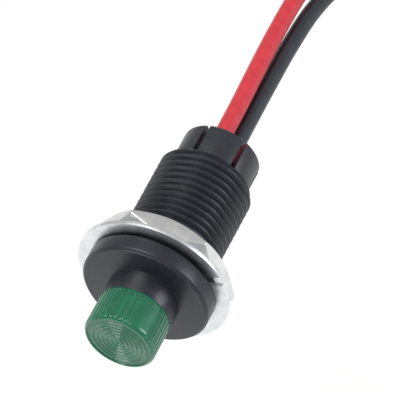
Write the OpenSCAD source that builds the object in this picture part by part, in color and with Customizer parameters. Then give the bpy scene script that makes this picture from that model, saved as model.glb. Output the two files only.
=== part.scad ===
// Panel pilot light: fluted lens, threaded body for a 12.7 mm panel hole, two insulated leads.
// The axis of the light is Y. The lens looks towards -Y and the leads leave towards +Y. +Z is up.
// The origin is on the axis, on the rear face of the flange, which seats on the panel.

/* [Lens] */
// Diameter of the lens over its ribs
lens_d = 9.5; // [7.9:0.05:11.5]
// Length of the lens in front of the neck
lens_len = 5.05; // [4.2:0.05:6.5]
// Thickness of the lens face
lens_face_t = 0.95; // [0.7:0.05:1.3]
// Bevel round the front edge of the lens
lens_bevel = 0.4; // [0.2:0.05:0.6]
// Number of flute positions round the lens
flute_count = 40; // [24:1:48]
// Depth of each flute
flute_depth = 0.12; // [0.05:0.01:0.16]
// Width of each flute
flute_w = 0.5; // [0.3:0.05:0.6]
// Flute positions left smooth for the window
window_flutes = 3; // [1:2:5]
// Height of the pale rib in the window
window_rib_h = 0.06; // [0.03:0.01:0.1]
// Width of the pale rib in the window
window_rib_w = 0.95; // [0.5:0.05:1.2]
// Direction of the window, clockwise from the top as seen from the front
window_angle = 34; // [0:1:359]
// Number of rings in the lens face
face_rings = 6; // [3:1:6]
// Spacing of the rings
face_ring_pitch = 0.62; // [0.45:0.01:0.64]
// Height of the rings
face_ring_h = 0.14; // [0.05:0.01:0.2]
// Length of the spigot that holds the lens in the neck
spigot_len = 2.2; // [1.5:0.1:2.6]
// Wall of the spigot
spigot_wall = 0.75; // [0.6:0.05:0.9]

/* [Housing] */
// Length of the neck in front of the flange
neck_len = 2.9; // [2.3:0.1:3.6]
// Diameter of the flange
flange_d = 17; // [14.1:0.1:21]
// Thickness of the flange
flange_t = 2.4; // [1.9:0.1:3]
// Bevel round the front edge of the flange
flange_bevel = 0.3; // [0.1:0.05:0.6]
// Outer diameter of the threaded barrel
barrel_d = 12.7; // [10.5:0.05:15.3]
// Length of the threaded barrel behind the flange
barrel_len = 17.2; // [14.3:0.1:21]
// Bevel at the rear end of the barrel
barrel_bevel = 0.35; // [0.1:0.05:0.6]
// Bore of the barrel between the lamp's seat and the bushing's seat
barrel_bore_d = 6.8; // [6:0.1:7.4]

/* [Nut and washer] */
// Width of the nut across its flats
nut_af = 17.46; // [16.6:0.01:21]
// Thickness of the nut
nut_t = 2.85; // [2.4:0.05:3.6]
// Inset of the nut's round faces from its flats
nut_face_inset = 0.28; // [0.1:0.02:0.5]
// Slope of the nut's chamfers, in degrees
nut_chamfer_slope = 38; // [20:1:38]
// Direction of one corner of the nut, clockwise from the top as seen from the front
nut_corner_angle = 37.5; // [0:0.5:60]
// Outer diameter of the lock washer
washer_d = 20.4; // [17:0.1:24.5]
// Thickness of the lock washer
washer_t = 0.6; // [0.4:0.05:0.8]
// Spring of the lock washer: how far one end stands above the other
washer_rise = 0.5; // [0.2:0.05:0.8]
// Gap at the split, in degrees
washer_split = 6; // [3:0.5:12]
// Direction of the split, clockwise from the top as seen from the front
washer_split_angle = 64; // [0:1:359]
// How far the washer hangs down on the barrel
washer_drop = 0.15; // [0:0.01:0.2]

/* [Rear bushing] */
// Diameter of the fingers
finger_d = 10.35; // [9.6:0.05:12.6]
// Length of the bushing behind the barrel
finger_len = 4.9; // [4:0.1:6]
// Number of fingers
finger_count = 6; // [4:1:8]
// Width of the slots between the fingers
slot_w = 0.7; // [0.4:0.05:1]
// Direction of one slot, clockwise from the top as seen from the front
slot_angle = 39; // [0:1:59]
// Height of the closed ring at the root of the fingers
finger_root = 0.4; // [0.2:0.1:1]
// Diameter of the plug inside the barrel
plug_d = 9.1; // [8:0.1:9.4]
// Length of the plug inside the barrel
plug_len = 7.6; // [6.3:0.1:9.2]
// Bore of the bushing
bushing_bore_d = 6.6; // [6:0.1:7]
// Bevel at the rear end of the fingers
finger_bevel = 0.3; // [0.1:0.05:0.5]

/* [Lamp] */
// Diameter of the lamp
led_d = 5; // [4.1:0.1:6]
// Step of the lamp's base ring
led_base_step = 0.4; // [0.2:0.05:0.5]
// Height of the lamp's base ring
led_base_h = 1; // [0.8:0.1:1.4]
// Air between the lamp and the inside of the lens
led_side_gap = 0.6; // [0.4:0.05:0.8]
// Air between the lamp's tip and the lens face
led_tip_gap = 0.9; // [0.3:0.1:1.5]
// Diameter of the lamp's legs
leg_d = 0.5; // [0.4:0.05:0.6]
// Thickness of the disc that holds the lamp
holder_t = 3.7; // [3.1:0.1:4.4]
// Depth of the pocket that holds the lamp's base ring
pocket_depth = 2; // [1.2:0.1:2.4]
// Distance from the lens spigot to the holder
holder_gap = 0.9; // [0.5:0.1:1.2]

/* [Wiring] */
// Outer diameter of a lead
lead_d = 2.35; // [1.6:0.05:2.4]
// Diameter of a lead's bare strands
strand_d = 0.8; // [0.5:0.05:0.8]
// Length stripped from the free end of each lead
strip_len = 6.4; // [4:0.1:10]
// Resistor diameter
resistor_d = 1.6; // [1.2:0.1:2]
// Resistor length
resistor_len = 3.2; // [2.6:0.1:3.8]
// Wall of the insulating sleeves
sleeve_wall = 0.14; // [0.08:0.01:0.14]
// Length of a crimp tube
splice_len = 3; // [2:0.1:3]
// Outer diameter of a crimp tube
splice_d = 1.6; // [1.3:0.05:1.9]
// Length of the soldered joint
joint_len = 1.2; // [0.8:0.1:1.4]
// Outer diameter of the soldered joint
joint_d = 1.2; // [0.9:0.1:1.6]
// Depth of the potting inside the barrel, from the barrel's rear face
potting_in = 3.4; // [2:0.1:4]
// Length of the potting behind the barrel's rear face
potting_out = 2.3; // [1:0.1:3]

/* [Fits] */
// Clearance between a piece and the bore that it is pushed into
push_fit = 0.05; // [0.02:0.01:0.08]
// Clearance between the nut and the barrel
nut_fit = 0.05; // [0.03:0.01:0.1]
// Clearance between the lock washer and the barrel
washer_fit = 0.25; // [0.22:0.01:0.4]
// Clearance round legs, strands and leads
wire_fit = 0.015; // [0.01:0.005:0.03]
// Air between inner pieces that stand end to end
end_gap = 0.2; // [0.1:0.05:0.4]

/* [Hidden] */
$fn = 96;
eps = 0.01;

// Stations along the axis, from the flange's rear face at 0
neck_front = -flange_t - neck_len;
lens_front = neck_front - lens_len;
spigot_end = neck_front + spigot_len;
holder_front = spigot_end + holder_gap;
holder_rear = holder_front + holder_t;
led_rear = holder_front + pocket_depth;
led_tip = lens_front + lens_face_t + led_tip_gap;
plug_front = barrel_len - plug_len;
finger_rear = barrel_len + finger_len;
potting_front = barrel_len - potting_in;
potting_rear = barrel_len + potting_out;

// Diameters that fit each other
lens_bore_d = led_d + 2 * led_side_gap;
spigot_d = lens_bore_d + 2 * spigot_wall;
seat_d = spigot_d + 2 * push_fit;
plug_seat_d = plug_d + 2 * push_fit;
led_base_d = led_d + 2 * led_base_step;
washer_bore_d = barrel_d + 2 * washer_fit;
sleeve_bore_d = lead_d + 2 * wire_fit;
sleeve_d = sleeve_bore_d + 2 * sleeve_wall;

// The nut stands on the raised end of the washer
nut_front = washer_rise + washer_t;
nut_rear = nut_front + nut_t;

// Routes of the two leads: out of the bushing, then over and down behind the panel
red_route = [
  [-0.7, 10.7, 1.15], [-0.7, 15, 1.15], [-0.7, 19, 1.15], [-0.7, 23, 1.1], [-0.8, 29, 0.95],
  [-1.1, 36, 0.6], [-1.3, 43, 0.3], [-1.2, 50, 0], [-0.6, 57, -1], [1, 63.5, -3.4],
  [3.8, 69, -7.8], [7.2, 73, -13.8], [10.2, 75.4, -21], [12.2, 76.6, -29], [13, 77, -38],
  [13, 77, -51], [13, 77, -65], [13, 77, -79], [13, 77, -93], [13, 77, -107]
];
black_route = [
  [0.7, 7.7, -1.15], [0.7, 13, -1.15], [0.7, 18, -1.15], [0.7, 23, -1.2], [0.6, 29, -1.35],
  [0.5, 36, -1.6], [0.5, 43, -1.9], [0.8, 50, -2.5], [1.8, 56.5, -4], [3.8, 62, -7],
  [6.8, 66.8, -11.8], [10.2, 70.4, -18], [13.2, 72.6, -25], [15.2, 73.7, -32.5], [16, 74, -41],
  [16, 74, -54], [16, 74, -67], [16, 74, -80], [16, 74, -93], [16, 74, -107]
];
lead_sides = 8;
lead_steps = 2;

// Each wire's inner pieces are placed from the point where its insulation starts
red_start = red_route[0].y;
black_start = black_route[0].y;
anode_splice_rear = red_start - 0.1;
anode_splice_front = anode_splice_rear - splice_len;
anode_butt = anode_splice_rear - 1.7;
cathode_splice_rear = black_start - 0.1;
cathode_splice_front = cathode_splice_rear - splice_len;
cathode_butt = cathode_splice_rear - 1.7;
joint_front = holder_rear + 0.7;
joint_rear = joint_front + joint_len;
joint_middle = (joint_front + joint_rear) / 2;
resistor_front = joint_rear + end_gap;
resistor_rear = resistor_front + resistor_len;
anode_sleeve_front = holder_rear + 0.4;
anode_sleeve_rear = potting_front - end_gap;
cathode_sleeve_front = cathode_splice_front - 0.6;
cathode_sleeve_rear = black_start + 3;

// ---------- helpers ----------

// Turns what is drawn along Z so that it runs along the light's axis
module along_axis() {
  rotate([-90, 0, 0]) children();
}

// Turns children towards a direction given clockwise from the top, seen from the front
module towards(angle) {
  rotate([0, 0, angle - 90]) children();
}

// A tube between two stations
module tube(from, to, od, id) {
  translate([0, 0, from]) difference() {
    cylinder(h = to - from, d = od);
    translate([0, 0, -1]) cylinder(h = to - from + 2, d = id);
  }
}

// A rod between two stations
module rod(from, to, d) {
  translate([0, 0, from]) cylinder(h = to - from, d = d);
}

// The red wire's line inside the body, up and to the left seen from the front
module on_red_line() {
  translate([red_route[0].x, -red_route[0].z, 0]) children();
}

// The black wire's line inside the body, down and to the right seen from the front
module on_black_line() {
  translate([black_route[0].x, -black_route[0].z, 0]) children();
}

function unit(v) = v / norm(v);

function blend_point(p0, p1, p2, p3, t) =
  0.5 * (2 * p1 + (p2 - p0) * t + (2 * p0 - 5 * p1 + 4 * p2 - p3) * t * t
  + (3 * p1 - p0 - 3 * p2 + p3) * t * t * t);

function before(route, i) = i > 0 ? route[i - 1] : 2 * route[0] - route[1];

function after(route, i) =
  i < len(route) ? route[i] : 2 * route[len(route) - 1] - route[len(route) - 2];

// The route's smooth centreline, with extra points between the given ones
function centreline(route, steps) = [
  for (i = [0 : len(route) - 2], k = [0 : steps - 1])
    blend_point(before(route, i), route[i], route[i + 1], after(route, i + 2), k / steps),
  route[len(route) - 1]
];

function direction(line, i) =
  unit(line[min(i + 1, len(line) - 1)] - line[max(i - 1, 0)]);

// A ring of points square to the centreline
function ring(line, i, r, sides) =
  let (
    t = direction(line, i),
    side = unit([1, 0, 0] - t.x * t),
    over = cross(t, side)
  ) [for (j = [0 : sides - 1])
    line[i] + r * (cos(360 * j / sides) * side + sin(360 * j / sides) * over)];

module lead_tube(route, d) {
  line = centreline(route, lead_steps);
  last = len(line) - 1;
  points = [for (i = [0 : last]) each ring(line, i, d / 2, lead_sides)];
  walls = [
    for (i = [0 : last - 1], j = [0 : lead_sides - 1])
      let (a = i * lead_sides + j, b = i * lead_sides + (j + 1) % lead_sides)
        each [[a, a + lead_sides, b + lead_sides], [a, b + lead_sides, b]]
  ];
  start_cap = [for (j = [0 : lead_sides - 1]) j];
  end_cap = [for (j = [lead_sides - 1 : -1 : 0]) last * lead_sides + j];
  polyhedron(points = points, faces = concat(walls, [start_cap, end_cap]), convexity = 8);
}

// ---------- lens ----------

module lens_side_flutes() {
  step = 360 / flute_count;
  first = (window_flutes + 1) / 2;
  cutter_r = flute_w * flute_w / (8 * flute_depth) + flute_depth / 2;
  for (i = [first : flute_count - first])
    towards(window_angle + i * step)
      translate([lens_d / 2 - flute_depth + cutter_r, 0, lens_front - 1])
        cylinder(h = lens_len + 0.7, r = cutter_r, $fn = 24);
}

module lens_window_rib() {
  intersection() {
    rod(lens_front + lens_bevel, neck_front - 0.5, lens_d + 2 * window_rib_h);
    towards(window_angle + 2)
      translate([lens_d / 2 - 0.5, -window_rib_w / 2, lens_front])
        cube([1, window_rib_w, lens_len]);
  }
}

module lens_profile() {
  face_r = lens_d / 2 - lens_bevel;
  ring_r = [for (i = [0 : face_rings - 1]) (i + 0.75) * face_ring_pitch];
  crests = [for (r = ring_r) each [
    [r - 0.22, lens_front + face_ring_h],
    [r, lens_front],
    [r + 0.22, lens_front + face_ring_h]
  ]];
  rim_in = [face_r - 0.15, lens_front + face_ring_h];
  polygon(concat(
    [[0, lens_front + face_ring_h]],
    crests,
    [
      rim_in,
      [face_r, lens_front],
      [lens_d / 2, lens_front + lens_bevel],
      [lens_d / 2, neck_front],
      [spigot_d / 2, neck_front],
      [spigot_d / 2, spigot_end],
      [lens_bore_d / 2, spigot_end],
      [lens_bore_d / 2, lens_front + lens_face_t],
      [0, lens_front + lens_face_t]
    ]
  ));
}

module lens() {
  color("darkgreen") along_axis() {
    difference() {
      rotate_extrude() lens_profile();
      lens_side_flutes();
    }
    lens_window_rib();
  }
}

// ---------- housing ----------

module housing() {
  color([0.1, 0.1, 0.13]) along_axis() rotate_extrude() polygon([
    [seat_d / 2, neck_front],
    [lens_d / 2, neck_front],
    [lens_d / 2, -flange_t],
    [flange_d / 2 - flange_bevel, -flange_t],
    [flange_d / 2, -flange_t + flange_bevel],
    [flange_d / 2, 0],
    [barrel_d / 2, 0],
    [barrel_d / 2, barrel_len - barrel_bevel],
    [barrel_d / 2 - barrel_bevel, barrel_len],
    [plug_seat_d / 2, barrel_len],
    [plug_seat_d / 2, plug_front - end_gap],
    [barrel_bore_d / 2, plug_front - end_gap],
    [barrel_bore_d / 2, holder_rear],
    [seat_d / 2, holder_rear]
  ]);
}

// ---------- lock washer ----------

module lock_washer() {
  sections = 60;
  turn = 360 - washer_split;
  start = washer_split_angle - 90 + washer_split / 2;
  inner = washer_bore_d / 2;
  outer = washer_d / 2;
  points = [
    for (i = [0 : sections])
      let (
        a = start + turn * i / sections,
        low = washer_rise * i / sections,
        dir = [cos(a), sin(a), 0]
      ) each [
        inner * dir + [0, washer_drop, low],
        outer * dir + [0, washer_drop, low],
        outer * dir + [0, washer_drop, low + washer_t],
        inner * dir + [0, washer_drop, low + washer_t]
      ]
  ];
  walls = [
    for (i = [0 : sections - 1], k = [0 : 3])
      let (a = 4 * i + k, b = 4 * i + (k + 1) % 4)
        each [[a, b, b + 4], [a, b + 4, a + 4]]
  ];
  start_cap = [3, 2, 1, 0];
  end_cap = [for (k = [0 : 3]) 4 * sections + k];
  color("silver") along_axis()
    polyhedron(points = points, faces = concat(walls, [start_cap, end_cap]), convexity = 4);
}

// ---------- nut ----------

module hex_nut() {
  corner_r = nut_af / 2 / cos(30) + 0.1;
  face_r = nut_af / 2 - nut_face_inset;
  fall = min((corner_r - face_r) * tan(nut_chamfer_slope), nut_t / 2 - 0.05);
  bore_r = barrel_d / 2 + nut_fit;
  lead_in = 0.3;
  color("gainsboro") along_axis() difference() {
    intersection() {
      towards(nut_corner_angle)
        translate([0, 0, nut_front])
          cylinder(h = nut_t, d = nut_af / cos(30), $fn = 6);
      rotate_extrude() polygon([
        [0, nut_front],
        [face_r, nut_front],
        [corner_r, nut_front + fall],
        [corner_r, nut_rear - fall],
        [face_r, nut_rear],
        [0, nut_rear]
      ]);
    }
    rod(nut_front - 1, nut_rear + 1, 2 * bore_r);
    translate([0, 0, nut_front - eps])
      cylinder(h = lead_in, r1 = bore_r + lead_in, r2 = bore_r);
    translate([0, 0, nut_rear + eps - lead_in])
      cylinder(h = lead_in, r1 = bore_r, r2 = bore_r + lead_in);
  }
}

// ---------- rear bushing ----------

module rear_bushing() {
  color([0.08, 0.08, 0.1]) along_axis() difference() {
    rotate_extrude() polygon([
      [bushing_bore_d / 2, plug_front],
      [plug_d / 2 - finger_bevel, plug_front],
      [plug_d / 2, plug_front + finger_bevel],
      [plug_d / 2, barrel_len],
      [finger_d / 2, barrel_len],
      [finger_d / 2, finger_rear - finger_bevel],
      [finger_d / 2 - finger_bevel, finger_rear],
      [bushing_bore_d / 2, finger_rear]
    ]);
    for (i = [0 : finger_count - 1])
      towards(slot_angle + i * 360 / finger_count)
        translate([bushing_bore_d / 2 - 0.5, -slot_w / 2, barrel_len + finger_root])
          cube([finger_d / 2, slot_w, finger_len + 1]);
  }
}

// ---------- lamp ----------

module led() {
  color([0.3, 0.75, 0.35]) along_axis() rotate_extrude() union() {
    intersection() {
      translate([0, led_tip + led_d / 2]) circle(d = led_d);
      translate([0, led_tip - 1]) square([led_d, led_d / 2 + 1]);
    }
    translate([0, led_tip + led_d / 2]) square([led_d / 2, led_rear - led_tip - led_d / 2]);
    translate([0, led_rear - led_base_h]) square([led_base_d / 2, led_base_h]);
  }
}

module anode_leg() {
  color("silver") along_axis() on_red_line() rod(led_rear, joint_middle, leg_d);
}

module cathode_leg() {
  color("silver") along_axis() on_black_line() rod(led_rear, cathode_butt, leg_d);
}

module led_holder() {
  hole_d = leg_d + 2 * wire_fit;
  color("dimgray") along_axis() difference() {
    rod(holder_front, holder_rear, spigot_d);
    rod(holder_front - 1, led_rear, led_base_d + 2 * push_fit);
    on_red_line() rod(led_rear - 1, holder_rear + 1, hole_d);
    on_black_line() rod(led_rear - 1, holder_rear + 1, hole_d);
  }
}

// ---------- wiring ----------

module resistor() {
  color("tan") along_axis() on_red_line() rotate_extrude() polygon([
    [0, resistor_front],
    [resistor_d / 2 - 0.2, resistor_front],
    [resistor_d / 2, resistor_front + 0.2],
    [resistor_d / 2, resistor_front + 0.8],
    [resistor_d / 2 - 0.12, resistor_front + 1],
    [resistor_d / 2 - 0.12, resistor_rear - 1],
    [resistor_d / 2, resistor_rear - 0.8],
    [resistor_d / 2, resistor_rear - 0.2],
    [resistor_d / 2 - 0.2, resistor_rear],
    [0, resistor_rear]
  ]);
}

module resistor_leg_front() {
  color("silver") along_axis() on_red_line() rod(joint_middle, resistor_front, leg_d);
}

module resistor_leg_rear() {
  color("silver") along_axis() on_red_line() rod(resistor_rear, anode_butt, leg_d);
}

module anode_joint() {
  color("silver") along_axis() on_red_line()
    tube(joint_front, joint_rear, joint_d, leg_d + 2 * wire_fit);
}

module anode_splice() {
  color("silver") along_axis() on_red_line()
    tube(anode_splice_front, anode_splice_rear, splice_d, strand_d + 2 * wire_fit);
}

module cathode_splice() {
  color("silver") along_axis() on_black_line()
    tube(cathode_splice_front, cathode_splice_rear, splice_d, strand_d + 2 * wire_fit);
}

module anode_sleeve() {
  color("black") along_axis() on_red_line()
    tube(anode_sleeve_front, anode_sleeve_rear, sleeve_d, sleeve_bore_d);
}

module cathode_sleeve() {
  color("black") along_axis() on_black_line()
    tube(cathode_sleeve_front, cathode_sleeve_rear, sleeve_d, sleeve_bore_d);
}

module potting() {
  color([0.12, 0.12, 0.12]) along_axis() difference() {
    rod(potting_front, potting_rear, bushing_bore_d - 2 * push_fit);
    on_red_line() rod(potting_front - 1, potting_rear + 1, sleeve_bore_d);
    on_black_line() rod(potting_front - 1, potting_rear + 1, sleeve_bore_d);
  }
}

module red_lead() {
  color([0.8, 0.2, 0.24]) lead_tube(red_route, lead_d);
}

module black_lead() {
  color([0.16, 0.18, 0.22]) lead_tube(black_route, lead_d);
}

// The bare strands hang from the cut end of the insulation
module stripped_end(route) {
  last = route[len(route) - 1];
  translate([last.x, last.y, last.z - strip_len]) cylinder(h = strip_len, d = strand_d);
}

module red_conductor() {
  color("silver") {
    along_axis() on_red_line() rod(anode_butt, red_start, strand_d);
    stripped_end(red_route);
  }
}

module black_conductor() {
  color("silver") {
    along_axis() on_black_line() rod(cathode_butt, black_start, strand_d);
    stripped_end(black_route);
  }
}

lens();
housing();
lock_washer();
hex_nut();
rear_bushing();
led();
anode_leg();
cathode_leg();
led_holder();
resistor();
resistor_leg_front();
resistor_leg_rear();
anode_joint();
anode_splice();
cathode_splice();
anode_sleeve();
cathode_sleeve();
potting();
red_lead();
black_lead();
red_conductor();
black_conductor();
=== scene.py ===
import bpy
import bmesh
import math

from mathutils import Matrix, Vector


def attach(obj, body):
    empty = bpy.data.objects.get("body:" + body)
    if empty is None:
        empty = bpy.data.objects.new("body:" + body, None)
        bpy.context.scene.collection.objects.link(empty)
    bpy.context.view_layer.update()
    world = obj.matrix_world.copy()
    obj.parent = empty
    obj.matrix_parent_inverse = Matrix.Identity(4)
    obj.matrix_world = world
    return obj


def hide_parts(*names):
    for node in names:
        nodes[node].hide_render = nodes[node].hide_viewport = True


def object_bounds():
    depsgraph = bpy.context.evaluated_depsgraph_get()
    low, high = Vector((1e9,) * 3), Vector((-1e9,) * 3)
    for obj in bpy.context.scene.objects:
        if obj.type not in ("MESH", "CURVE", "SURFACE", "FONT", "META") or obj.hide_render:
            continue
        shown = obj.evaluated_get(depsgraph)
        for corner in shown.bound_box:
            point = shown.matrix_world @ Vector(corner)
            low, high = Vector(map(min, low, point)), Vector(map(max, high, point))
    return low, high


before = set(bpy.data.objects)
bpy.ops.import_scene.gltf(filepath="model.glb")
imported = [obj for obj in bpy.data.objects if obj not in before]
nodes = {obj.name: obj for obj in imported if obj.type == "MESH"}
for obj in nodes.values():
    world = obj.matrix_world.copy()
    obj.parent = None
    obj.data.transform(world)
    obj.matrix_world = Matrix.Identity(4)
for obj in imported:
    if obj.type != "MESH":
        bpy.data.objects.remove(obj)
cad_low, cad_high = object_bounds()
scene = bpy.context.scene
MM = 0.001

# ---------------------------------------------------------------- camera

AZIMUTH, ELEVATION = math.radians(23.37), math.radians(52.4)
TARGET = Vector((2.273, 9.665, 6.138)) * MM
DISTANCE = 0.65
VIEW_WIDTH = 49.57 * MM
SENSOR_WIDTH = 36

back = Vector((
    math.sin(AZIMUTH) * math.cos(ELEVATION),
    -math.cos(AZIMUTH) * math.cos(ELEVATION),
    math.sin(ELEVATION),
))
right = Vector((math.cos(AZIMUTH), math.sin(AZIMUTH), 0))
up = back.cross(right)
camera_data = bpy.data.cameras.new("camera")
camera = bpy.data.objects.new("camera", camera_data)
scene.collection.objects.link(camera)
camera_data.sensor_width = SENSOR_WIDTH
camera_data.lens = SENSOR_WIDTH * DISTANCE / VIEW_WIDTH
camera_data.clip_start = 0.05
camera_data.clip_end = 20
turn = Matrix((right, up, back)).transposed()
camera.matrix_world = Matrix.Translation(TARGET + back * DISTANCE) @ turn.to_4x4()
scene.camera = camera

# ---------------------------------------------------------------- shader helpers


def new_material(name):
    mat = bpy.data.materials.new(name)
    mat.use_nodes = True
    tree = mat.node_tree
    return mat, tree, tree.nodes["Principled BSDF"]


def set_inputs(shader, **values):
    for key, value in values.items():
        shader.inputs[key.replace("_", " ")].default_value = value


def noise(tree, scale, detail=3.0, roughness=0.55, stretch=None):
    """A noise texture in the piece's own space. scale is in features per metre."""
    coords = tree.nodes.new("ShaderNodeTexCoord")
    tex = tree.nodes.new("ShaderNodeTexNoise")
    tex.inputs["Scale"].default_value = scale
    tex.inputs["Detail"].default_value = detail
    tex.inputs["Roughness"].default_value = roughness
    source = coords.outputs["Object"]
    if stretch:
        mapping = tree.nodes.new("ShaderNodeMapping")
        mapping.inputs["Scale"].default_value = stretch
        tree.links.new(source, mapping.inputs["Vector"])
        source = mapping.outputs["Vector"]
    tree.links.new(source, tex.inputs["Vector"])
    return tex.outputs["Fac"]


def ramp(tree, fac, stops):
    """Colours along fac, from a list of (place, colour)."""
    node = tree.nodes.new("ShaderNodeValToRGB")
    elements = node.color_ramp.elements
    while len(elements) < len(stops):
        elements.new(0.5)
    for element, (place, colour) in zip(elements, stops):
        element.position = place
        element.color = (*colour, 1.0)
    tree.links.new(fac, node.inputs["Fac"])
    return node.outputs["Color"]


def map_range(tree, fac, low, high):
    node = tree.nodes.new("ShaderNodeMapRange")
    node.inputs["To Min"].default_value = low
    node.inputs["To Max"].default_value = high
    tree.links.new(fac, node.inputs["Value"])
    return node.outputs["Result"]


def bump(tree, shader, height, distance):
    node = tree.nodes.new("ShaderNodeBump")
    node.inputs["Strength"].default_value = 1.0
    node.inputs["Distance"].default_value = distance
    tree.links.new(height, node.inputs["Height"])
    tree.links.new(node.outputs["Normal"], shader.inputs["Normal"])


def plastic(name, dark, light, rough=(0.3, 0.45), grain=2500, relief=0.006 * MM):
    mat, tree, shader = new_material(name)
    tree.links.new(ramp(tree, noise(tree, 900), [(0.3, dark), (0.7, light)]),
                   shader.inputs["Base Color"])
    tree.links.new(map_range(tree, noise(tree, 1400), *rough), shader.inputs["Roughness"])
    bump(tree, shader, noise(tree, grain, 2.0), relief)
    return mat


def metal(name, dark, light, rough=(0.25, 0.4), grain=(1, 1, 1), relief=0.004 * MM):
    mat, tree, shader = new_material(name)
    set_inputs(shader, Metallic=1.0)
    tree.links.new(ramp(tree, noise(tree, 700), [(0.3, dark), (0.7, light)]),
                   shader.inputs["Base Color"])
    tree.links.new(map_range(tree, noise(tree, 1800, stretch=grain), *rough),
                   shader.inputs["Roughness"])
    bump(tree, shader, noise(tree, 2600, 3.0, stretch=grain), relief)
    return mat


# ---------------------------------------------------------------- mesh helpers

MERGE_DISTANCE = 1e-7
SMOOTH_ANGLE = 32


def polar(r, angle, y):
    """A point in metres. angle is in radians clockwise from the top, seen from the front."""
    return (r * math.sin(angle) * MM, y * MM, r * math.cos(angle) * MM)


def make_object(name, verts, faces, body, material):
    """A piece made of these faces, with vertices that lie together merged."""
    mesh = bpy.data.meshes.new(name)
    bm = bmesh.new()
    made = [bm.verts.new(v) for v in verts]
    for face in faces:
        bm.faces.new([made[i] for i in face])
    bmesh.ops.remove_doubles(bm, verts=bm.verts[:], dist=MERGE_DISTANCE)
    bmesh.ops.dissolve_degenerate(bm, edges=bm.edges[:], dist=MERGE_DISTANCE)
    bmesh.ops.recalc_face_normals(bm, faces=bm.faces[:])
    bm.to_mesh(mesh)
    bm.free()
    return finish_object(name, mesh, body, material)


def finish_object(name, mesh, body, material, smooth_angle=SMOOTH_ANGLE):
    for polygon in mesh.polygons:
        polygon.use_smooth = True
    mesh.set_sharp_from_angle(angle=math.radians(smooth_angle))
    obj = bpy.data.objects.new(name, mesh)
    scene.collection.objects.link(obj)
    mesh.materials.append(material)
    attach(obj, body)
    return obj


def rounded(points, closed=False, steps=3):
    """A profile of (r, y, fillet radius) corners, with each corner turned into an arc."""
    out = []
    count = len(points)
    for i, (r, y, fillet) in enumerate(points):
        here = Vector((r, y))
        if fillet <= 0 or (not closed and i in (0, count - 1)):
            out.append((r, y))
            continue
        before = Vector(points[i - 1][:2]) - here
        after = Vector(points[(i + 1) % count][:2]) - here
        reach = min(fillet, before.length * 0.45, after.length * 0.45)
        a = here + before.normalized() * reach
        b = here + after.normalized() * reach
        for k in range(steps + 1):
            t = k / steps
            p = a * (1 - t) ** 2 + here * 2 * t * (1 - t) + b * t ** 2
            out.append((p.x, p.y))
    return out


def lathe_faces(columns, rows):
    """Quads of a closed profile carried round the axis; vertex index = column * rows + row."""
    faces = []
    for j in range(columns):
        n = (j + 1) % columns
        for k in range(rows):
            k2 = (k + 1) % rows
            faces.append((j * rows + k, j * rows + k2, n * rows + k2, n * rows + k))
    return faces


# ---------------------------------------------------------------- the leads

# The routes repeat the CAD leads' points, in mm, from inside the body to the stripped end.
LEAD_D = 2.35
RED_ROUTE = [
    (-0.7, 10.7, 1.15), (-0.7, 15, 1.15), (-0.7, 19, 1.15), (-0.7, 23, 1.1), (-0.8, 29, 0.95),
    (-1.1, 36, 0.6), (-1.3, 43, 0.3), (-1.2, 50, 0), (-0.6, 57, -1), (1, 63.5, -3.4),
    (3.8, 69, -7.8), (7.2, 73, -13.8), (10.2, 75.4, -21), (12.2, 76.6, -29), (13, 77, -38),
    (13, 77, -51), (13, 77, -65), (13, 77, -79), (13, 77, -93), (13, 77, -107),
]
BLACK_ROUTE = [
    (0.7, 7.7, -1.15), (0.7, 13, -1.15), (0.7, 18, -1.15), (0.7, 23, -1.2), (0.6, 29, -1.35),
    (0.5, 36, -1.6), (0.5, 43, -1.9), (0.8, 50, -2.5), (1.8, 56.5, -4), (3.8, 62, -7),
    (6.8, 66.8, -11.8), (10.2, 70.4, -18), (13.2, 72.6, -25), (15.2, 73.7, -32.5), (16, 74, -41),
    (16, 74, -54), (16, 74, -67), (16, 74, -80), (16, 74, -93), (16, 74, -107),
]


def lead_curve(name, route, material):
    curve = bpy.data.curves.new(name, "CURVE")
    curve.dimensions = "3D"
    curve.bevel_depth = LEAD_D / 2 * MM
    curve.bevel_resolution = 8
    curve.resolution_u = 8
    curve.use_fill_caps = True
    spline = curve.splines.new("BEZIER")
    points = [Vector(p) * MM for p in route]
    spline.bezier_points.add(len(points) - 1)
    for i, knot in enumerate(spline.bezier_points):
        before = points[i - 1] if i else 2 * points[0] - points[1]
        after = points[i + 1] if i + 1 < len(points) else 2 * points[-1] - points[-2]
        knot.handle_left_type = knot.handle_right_type = "FREE"
        knot.co = points[i]
        knot.handle_left = points[i] - (after - before) / 6
        knot.handle_right = points[i] + (after - before) / 6
    curve.materials.append(material)
    obj = bpy.data.objects.new(name, curve)
    scene.collection.objects.link(obj)
    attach(obj, "root")
    return obj


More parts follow.
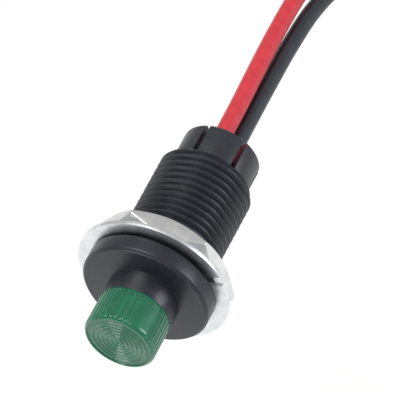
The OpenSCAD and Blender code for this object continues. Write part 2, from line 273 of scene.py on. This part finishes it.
def strands(name, route, inner, material):
    """Seven twisted bare strands at the stripped end, and the bare end inside the body."""
    end = Vector(route[-1])
    length, covered = 6.4, 0.2
    strand_r, lay_r, lay_strands, turns, steps = 0.135, 0.262, 6, 1.6, 24
    inner_r, inner_sides = 0.4, 24
    verts, faces = [], []

    def tube(line, r, sides=10):
        base = len(verts)
        for i, p in enumerate(line):
            t = (line[min(i + 1, len(line) - 1)] - line[max(i - 1, 0)]).normalized()
            side = (Vector((1, 0, 0)) - t * t.x).normalized()
            over = t.cross(side)
            for j in range(sides):
                a = math.tau * j / sides
                verts.append((p + side * r * math.cos(a) + over * r * math.sin(a)) * MM)
        for i in range(len(line) - 1):
            for j in range(sides):
                a, b = base + i * sides + j, base + i * sides + (j + 1) % sides
                faces.append((a, b, b + sides, a + sides))
        faces.append(tuple(base + j for j in range(sides)))
        faces.append(tuple(base + (len(line) - 1) * sides + j for j in range(sides)))

    tube([end + Vector((0, 0, covered)), end - Vector((0, 0, length))], strand_r)
    for s in range(lay_strands):
        line = []
        for i in range(steps + 1):
            t = i / steps
            a = math.tau * (s / lay_strands + turns * t)
            drop = covered - (length + covered) * t
            line.append(end + Vector((lay_r * math.cos(a), lay_r * math.sin(a), drop)))
        tube(line, strand_r)
    tube([Vector((route[0][0], y, route[0][2])) for y in inner], inner_r, inner_sides)
    obj = make_object(name, verts, faces, "root", material)
    return obj


red_pvc = plastic("red_pvc", (0.50, 0.022, 0.035), (0.60, 0.032, 0.048), (0.34, 0.5), 1200,
                  0.012 * MM)
black_pvc = plastic("black_pvc", (0.012, 0.015, 0.022), (0.02, 0.024, 0.034), (0.36, 0.5), 1200,
                    0.012 * MM)
tinned = metal("tinned_wire", (0.55, 0.55, 0.53), (0.72, 0.72, 0.7), (0.28, 0.45))

red_lead = lead_curve("red_lead_cable", RED_ROUTE, red_pvc)
black_lead = lead_curve("black_lead_cable", BLACK_ROUTE, black_pvc)
red_strands = strands("red_lead_strands", RED_ROUTE, (8.9, 10.7), tinned)
black_strands = strands("black_lead_strands", BLACK_ROUTE, (5.9, 7.7), tinned)
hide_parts("red_lead")
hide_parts("black_lead")
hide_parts("red_conductor")
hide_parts("black_conductor")

# ---------------------------------------------------------------- thread

PITCH, CREST_R, ROOT_R = 1.058, 6.35, 5.78
BARREL_END = 17.2
# One pitch of the thread: (share of the pitch, height from root to crest).
THREAD = [
    (0.0, 1.0), (0.05, 1.0), (0.085, 0.93), (0.345, 0.07), (0.385, 0.0),
    (0.5, 0.0), (0.615, 0.0), (0.655, 0.07), (0.915, 0.93), (0.95, 1.0),
]


def thread_rows(y_from, y_to, angle, gap, limit):
    """(r, y) points of the helical thread at one angle, between two ends. limit(r, y) trims it."""
    rows = []
    turns = math.ceil((y_to - y_from) / PITCH) + 2
    first = math.floor(y_from / PITCH) - 1
    for k in range(turns):
        for share, height in THREAD:
            y = (first + k + share + angle / math.tau) * PITCH
            y = min(max(y, y_from), y_to)
            r = ROOT_R + (CREST_R - ROOT_R) * height + gap
            rows.append((limit(r, y), y))
    return rows


def threaded_faces(columns, rows, thread_count):
    """As lathe_faces, but the first thread_count rows join one pitch on where the turn closes."""
    faces = []
    last = thread_count - 1
    for j in range(columns):
        n = (j + 1) % columns
        for k in range(rows):
            k2 = (k + 1) % rows
            m, m2 = k, k2
            if n == 0 and k < last:
                m, m2 = min(k + len(THREAD), last), min(k2 + len(THREAD), last)
            quad = [j * rows + k, j * rows + k2, n * rows + m2, n * rows + m]
            faces.append(tuple(dict.fromkeys(quad)))
    return [face for face in faces if len(face) > 2]


# ---------------------------------------------------------------- housing

FLANGE_T, FLANGE_R, FLANGE_EDGE = 2.4, 8.5, 0.32
NECK_R, NECK_FRONT = 4.75, -5.3
PLUG_BORE_R, PLUG_BORE_FRONT = 4.6, 9.4
HOLDER_BORE_R, HOLDER_BORE_REAR = 3.9, 1.5
WIRE_BORE_R = 3.4


def barrel_limit(r, y):
    """Runs the crests down to the root at both ends of the barrel."""
    plain_front, front_slope, rear_slope = 0.15, 1.2, 1.1
    front = ROOT_R + max(0.0, y - plain_front) * front_slope
    rear = ROOT_R + max(0.0, BARREL_END - y) * rear_slope
    return min(r, front, rear)


def housing():
    """Threaded barrel, flange and neck, with the stepped bore that runs through them."""
    columns = 180
    rest = rounded([
        (ROOT_R, BARREL_END, 0), (PLUG_BORE_R, BARREL_END, 0.1),
        (PLUG_BORE_R, PLUG_BORE_FRONT, 0), (WIRE_BORE_R, PLUG_BORE_FRONT, 0),
        (WIRE_BORE_R, HOLDER_BORE_REAR, 0), (HOLDER_BORE_R, HOLDER_BORE_REAR, 0),
        (HOLDER_BORE_R, NECK_FRONT, 0.08), (NECK_R, NECK_FRONT, 0.1),
        (NECK_R, -FLANGE_T, 0.12), (FLANGE_R - FLANGE_EDGE, -FLANGE_T, 0.12),
        (FLANGE_R, -FLANGE_T + FLANGE_EDGE, 0.12), (FLANGE_R, 0, 0.12), (ROOT_R, 0, 0),
    ])
    verts = []
    for j in range(columns):
        angle = math.tau * j / columns
        thread = thread_rows(0, BARREL_END, angle, 0, barrel_limit)
        for r, y in thread + rest:
            verts.append(polar(r, angle, y))
    return verts, threaded_faces(columns, len(thread) + len(rest), len(thread))


gloss_black = plastic("body_black", (0.010, 0.012, 0.019), (0.015, 0.018, 0.028), (0.28, 0.4))
verts, faces = housing()
housing_obj = make_object("body_shell", verts, faces, "root", gloss_black)
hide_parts("housing")

# ---------------------------------------------------------------- nut

NUT_FRONT, NUT_T, NUT_AF = 1.1, 2.85, 17.46
NUT_FACE_R = NUT_AF / 2 - 0.28
NUT_MOUTH_R, NUT_THREAD_GAP = 6.62, 0.06
NUT_CORNER, CORNER_ROUND = 37.5, 0.35
CHAMFER_SLOPE = math.tan(math.radians(38))
# Columns of one sixth of the nut, in degrees from its corner, close together at the corner.
SECTOR = [-25, -20, -15, -10, -6, -3, -1.6, -0.9, -0.55, -0.2, 0.2, 0.55, 0.9, 1.6, 3, 6, 10,
          15, 20, 25, 30]


def hex_radius(degrees_from_corner):
    """Distance from the axis to a hexagon with slightly rounded corners."""
    a = math.radians(degrees_from_corner)
    flat = NUT_AF / 2 / math.cos(math.radians(30) - abs(a))
    d = (NUT_AF / 2 - CORNER_ROUND) / math.cos(math.radians(30))
    inside = CORNER_ROUND ** 2 - (d * math.sin(a)) ** 2
    if inside > 0:
        return min(flat, d * math.cos(a) + math.sqrt(inside))
    return flat


def nut_limit(r, y):
    """Opens the thread out to the chamfered mouth at both faces of the nut."""
    return max(r, NUT_MOUTH_R - min(y - NUT_FRONT, NUT_FRONT + NUT_T - y))


def nut():
    """A hex nut with its thread, and both faces chamfered down to a circle."""
    y0, y1 = NUT_FRONT, NUT_FRONT + NUT_T
    angles = sorted(((NUT_CORNER + s * 60 + a) % 360, a) for s in range(6) for a in SECTOR)
    verts = []
    for degrees, offset in angles:
        angle = math.radians(degrees)
        hr = hex_radius(offset)
        fall = (hr - NUT_FACE_R) * CHAMFER_SLOPE
        thread = thread_rows(y0, y1, angle, NUT_THREAD_GAP, nut_limit)
        rest = rounded([
            (NUT_MOUTH_R, y1, 0), (NUT_FACE_R, y1, 0.1), (hr, y1 - fall, 0.1), (hr, y0 + fall, 0.1),
            (NUT_FACE_R, y0, 0.1), (NUT_MOUTH_R, y0, 0),
        ])
        for r, y in thread + rest:
            verts.append(polar(r, angle, y))
    return verts, threaded_faces(len(angles), len(thread) + len(rest), len(thread))


nickel = metal("nut_nickel", (0.62, 0.63, 0.63), (0.78, 0.78, 0.77), (0.24, 0.36), (1, 6, 1))
verts, faces = nut()
nut_obj = make_object("plated_nut", verts, faces, "nut", nickel)
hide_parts("hex_nut")

# ---------------------------------------------------------------- lock washer


def washer():
    """A flat ring that rises round the axis, cut by a gap, and hangs a little low on the barrel."""
    inner, outer, thick, rise = 6.6, 10.2, 0.6, 0.5
    split, split_at, drop, sections = 6.0, 64.0, 0.15, 200
    profile = rounded([
        (inner, 0, 0.1), (outer, 0, 0.1), (outer, thick, 0.1), (inner, thick, 0.1),
    ], closed=True)
    rows = len(profile)
    verts, faces = [], []
    for i in range(sections + 1):
        angle = math.radians(split_at + split / 2 + (360 - split) * i / sections)
        for r, y in profile:
            x, yy, z = polar(r, angle, y + rise * i / sections)
            verts.append((x, yy, z - drop * MM))
    for i in range(sections):
        for k in range(rows):
            k2 = (k + 1) % rows
            faces.append((i * rows + k, i * rows + k2, (i + 1) * rows + k2, (i + 1) * rows + k))
    faces.append(tuple(range(rows)))
    faces.append(tuple(sections * rows + k for k in range(rows)))
    return verts, faces


zinc = metal("washer_zinc", (0.66, 0.68, 0.70), (0.80, 0.82, 0.84), (0.26, 0.4), (1, 4, 1))
verts, faces = washer()
washer_obj = make_object("spring_washer", verts, faces, "washer", zinc)
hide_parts("lock_washer")

# ---------------------------------------------------------------- lens

LENS_FRONT, LENS_R, LENS_BEVEL = -10.35, 4.75, 0.4
LENS_BACK, LAMP_BORE_R, LAMP_BORE_FRONT = -3.1, 3.1, -9.4
FLUTES, FLUTE_DEPTH, FLUTE_HALF, FLUTES_FROM = 40, 0.14, 0.34, -5.64
# The window is centred at this angle; flute positions 0, 1 and the last are left smooth for it.
WINDOW = 34.0
FLUTE_STEPS = [-0.5, -0.34, -0.23, -0.11, 0.0, 0.11, 0.23, 0.34]
FACE_R, FACE_SUNK, FACE_STEP = 4.16, 0.16, 0.0775
RINGS, RING_FIRST, RING_PITCH, RING_HALF, RING_HEIGHT = 6, 0.465, 0.62, 0.27, 0.13


def lens_face():
    """(r, y) points of the sunk face with its rings, from the rim to near the axis."""
    rings = [RING_FIRST + RING_PITCH * i for i in range(RINGS)]
    points = []
    r = FACE_R
    while r > 0.05:
        near = min(abs(r - ring) for ring in rings)
        crest = RING_HEIGHT * (0.5 + 0.5 * math.cos(math.pi * min(near / RING_HALF, 1)))
        points.append((r, LENS_FRONT + FACE_SUNK - crest))
        r -= FACE_STEP
    return points


def lens():
    """A closed cap with a ringed face, and a fluted side that is smooth at the window."""
    pitch = 360 / FLUTES
    angles = [(WINDOW + (i + s) * pitch, i, s) for i in range(FLUTES) for s in FLUTE_STEPS]
    outline = rounded([
        (3.85, LENS_BACK, 0.1), (3.85, NECK_FRONT, 0), (LENS_R, NECK_FRONT, 0.06),
        (LENS_R, -5.62, 0), (LENS_R, -5.66, 0), (LENS_R, -6.6, 0), (LENS_R, -7.6, 0),
        (LENS_R, -8.6, 0), (LENS_R, -9.6, 0), (LENS_R, LENS_FRONT + LENS_BEVEL, 0.12),
        (4.62, LENS_FRONT + 0.2, 0), (4.4, LENS_FRONT, 0.12), (4.24, LENS_FRONT + 0.02, 0.03),
        (4.18, LENS_FRONT + FACE_SUNK, 0),
    ])
    inside = rounded([
        (0.0, LAMP_BORE_FRONT, 0), (LAMP_BORE_R, LAMP_BORE_FRONT, 0.25),
        (LAMP_BORE_R, LENS_BACK, 0.1), (3.5, LENS_BACK, 0),
    ])
    profile = outline + lens_face() + [(0.0, LENS_FRONT + FACE_SUNK)] + inside
    verts = []
    for degrees, i, s in angles:
        fluted = 2 <= i <= FLUTES - 2
        depth = FLUTE_DEPTH * max(0.0, 1 - (s / FLUTE_HALF) ** 2) if fluted else 0.0
        for r, y in profile:
            if y < FLUTES_FROM and r > 4:
                r = min(r, LENS_R - depth)
            verts.append(polar(r, math.radians(degrees), y))
    return verts, lathe_faces(len(angles), len(profile))


green, tree, shader = new_material("lens_green")
set_inputs(shader, IOR=1.49, Transmission_Weight=0.35, Coat_Weight=0.5, Coat_Roughness=0.08)
tree.links.new(ramp(tree, noise(tree, 500), [(0.3, (0.0, 0.16, 0.075)), (0.7, (0.0, 0.22, 0.105))]),
               shader.inputs["Base Color"])
tree.links.new(map_range(tree, noise(tree, 1500), 0.12, 0.22), shader.inputs["Roughness"])
bump(tree, shader, noise(tree, 1800, 2.0), 0.006 * MM)
verts, faces = lens()
lens_obj = make_object("lens_cap", verts, faces, "root", green)
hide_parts("lens")

# ---------------------------------------------------------------- rear bushing


BUSHING_BORE_R, PLUG_R, PLUG_FRONT = 3.3, 4.55, 9.6
FINGER_R, FINGER_END, BUSHING_EDGE = 5.175, 22.1, 0.3
SLOTS, SLOT_FIRST, SLOT_HALF, SLOT_FRONT = 6, 39, 0.35, 17.6
BOX_FACES = ((0, 1, 3, 2), (4, 6, 7, 5), (0, 4, 5, 1), (2, 3, 7, 6), (0, 2, 6, 4), (1, 5, 7, 3))


def closed_object(name, verts, faces):
    """An object for the boolean below, with its faces turned outwards."""
    mesh = bpy.data.meshes.new(name)
    mesh.from_pydata(verts, [], faces)
    bm = bmesh.new()
    bm.from_mesh(mesh)
    bmesh.ops.recalc_face_normals(bm, faces=bm.faces[:])
    bm.to_mesh(mesh)
    bm.free()
    obj = bpy.data.objects.new(name, mesh)
    scene.collection.objects.link(obj)
    return obj


def slot_boxes():
    """The boxes that part the bushing's end into fingers."""
    verts, faces = [], []
    axis = Vector((0, 1, 0))
    for i in range(SLOTS):
        angle = math.radians(SLOT_FIRST + 360 / SLOTS * i)
        outward = Vector((math.sin(angle), 0, math.cos(angle)))
        sideways = Vector((math.cos(angle), 0, -math.sin(angle)))
        base = len(verts)
        for a in (BUSHING_BORE_R - 0.4, FINGER_R + 0.425):
            for b in (-SLOT_HALF, SLOT_HALF):
                for c in (SLOT_FRONT, FINGER_END + 0.5):
                    verts.append((outward * a + sideways * b + axis * c) * MM)
        faces += [tuple(base + k for k in face) for face in BOX_FACES]
    return verts, faces


def bushing():
    """A sleeve pressed into the barrel, with its wider end slotted into fingers."""
    columns = 144
    profile = rounded([
        (BUSHING_BORE_R, PLUG_FRONT, 0), (PLUG_R - BUSHING_EDGE, PLUG_FRONT, 0.05),
        (PLUG_R, PLUG_FRONT + BUSHING_EDGE, 0.05), (PLUG_R, BARREL_END, 0),
        (FINGER_R, BARREL_END, 0.06), (FINGER_R, FINGER_END - BUSHING_EDGE, 0.08),
        (FINGER_R - BUSHING_EDGE, FINGER_END, 0.08), (BUSHING_BORE_R, FINGER_END, 0.12),
    ], closed=True)
    verts = [polar(r, math.tau * j / columns, y) for j in range(columns) for r, y in profile]
    base = closed_object("bushing_base", verts, lathe_faces(columns, len(profile)))
    cutter = closed_object("bushing_slots", *slot_boxes())
    boolean = base.modifiers.new("slots", "BOOLEAN")
    boolean.operation = "DIFFERENCE"
    boolean.solver = "EXACT"
    boolean.object = cutter
    bpy.context.view_layer.update()
    evaluated = base.evaluated_get(bpy.context.evaluated_depsgraph_get())
    result = bpy.data.meshes.new_from_object(evaluated)
    result.materials.clear()
    bpy.data.objects.remove(base)
    bpy.data.objects.remove(cutter)
    return result


bushing_black = plastic("bushing_black", (0.012, 0.014, 0.020), (0.018, 0.021, 0.03), (0.3, 0.45))
bushing_obj = finish_object("finger_bushing", bushing(), "root", bushing_black, 30)
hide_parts("rear_bushing")

# ---------------------------------------------------------------- inner pieces

lamp, tree, shader = new_material("lamp_green")
set_inputs(shader, IOR=1.5, Transmission_Weight=0.5)
tree.links.new(ramp(tree, noise(tree, 400), [(0.3, (0.05, 0.42, 0.16)), (0.7, (0.1, 0.55, 0.24))]),
               shader.inputs["Base Color"])
tree.links.new(map_range(tree, noise(tree, 900), 0.15, 0.25), shader.inputs["Roughness"])
inner_looks = {
    "led": lamp,
    "led_holder": bushing_black,
    "resistor": plastic("resistor_tan", (0.5, 0.38, 0.2), (0.6, 0.46, 0.27)),
    "anode_sleeve": black_pvc,
    "cathode_sleeve": black_pvc,
    "potting": plastic("potting_black", (0.012, 0.012, 0.014), (0.022, 0.022, 0.025),
                       (0.35, 0.55), 900, 0.03 * MM),
}
for name in ("anode_leg", "cathode_leg", "resistor_leg_front", "resistor_leg_rear",
             "anode_joint", "anode_splice", "cathode_splice"):
    inner_looks[name] = tinned
for name, look in inner_looks.items():
    for slot in nodes[name].material_slots:
        slot.material = look

# ---------------------------------------------------------------- stage and lights


def area_light(name, place, size, energy, colour, aim=Vector((0, 0.008, 0))):
    data = bpy.data.lights.new(name, "AREA")
    data.shape = "SQUARE"
    data.size = size
    data.energy = energy
    data.color = colour
    obj = bpy.data.objects.new(name, data)
    scene.collection.objects.link(obj)
    obj.location = place
    obj.rotation_mode = "QUATERNION"
    obj.rotation_quaternion = (Vector(place) - aim).to_track_quat("Z", "Y")


def from_camera(side, height, depth):
    """A place given to the right of, above and in front of the target, as the camera sees it."""
    return TARGET + right * side + up * height + back * depth


area_light("key", from_camera(-0.25, 0.45, 0.45), 0.35, 3.2, (1.0, 0.97, 0.92))
area_light("side", from_camera(0.55, 0.1, 0.25), 0.3, 1.6, (0.9, 0.95, 1.0))
area_light("low", from_camera(-0.45, -0.35, 0.3), 0.3, 1.0, (0.9, 0.95, 1.0))


def for_camera(tree, other_rays, camera_ray):
    """A value that is camera_ray where the camera looks, and other_rays for all other light."""
    light_path = tree.nodes.new("ShaderNodeLightPath")
    return map_range(tree, light_path.outputs["Is Camera Ray"], other_rays, camera_ray)


def make_world():
    """White to the camera, and a lower, even light on the object."""
    world = bpy.data.worlds.new("world")
    scene.world = world
    world.use_nodes = True
    tree = world.node_tree
    background = tree.nodes["Background"]
    background.inputs["Color"].default_value = (1, 1, 1, 1)
    tree.links.new(for_camera(tree, 0.55, 1.0), background.inputs["Strength"])


def make_floor(size, level):
    """A floor that takes the object's shadow and looks nearly white to the camera."""
    mesh = bpy.data.meshes.new("floor")
    mesh.from_pydata(
        [(-size, -size, level), (size, -size, level), (size, size, level), (-size, size, level)],
        [], [(0, 1, 2, 3)])
    floor = bpy.data.objects.new("floor", mesh)
    scene.collection.objects.link(floor)
    pale, tree, shader = new_material("floor_pale")
    set_inputs(shader, Base_Color=(0.9, 0.9, 0.9, 1), Roughness=0.8)
    glow = tree.nodes.new("ShaderNodeEmission")
    glow.inputs["Strength"].default_value = 1.0
    mix = tree.nodes.new("ShaderNodeMixShader")
    tree.links.new(for_camera(tree, 0.0, 0.9), mix.inputs["Fac"])
    tree.links.new(shader.outputs["BSDF"], mix.inputs[1])
    tree.links.new(glow.outputs["Emission"], mix.inputs[2])
    tree.links.new(mix.outputs["Shader"], tree.nodes["Material Output"].inputs["Surface"])
    mesh.materials.append(pale)
    return floor


make_world()
floor = make_floor(1.5, cad_low.z - 0.002)

scene.view_settings.view_transform = "Standard"
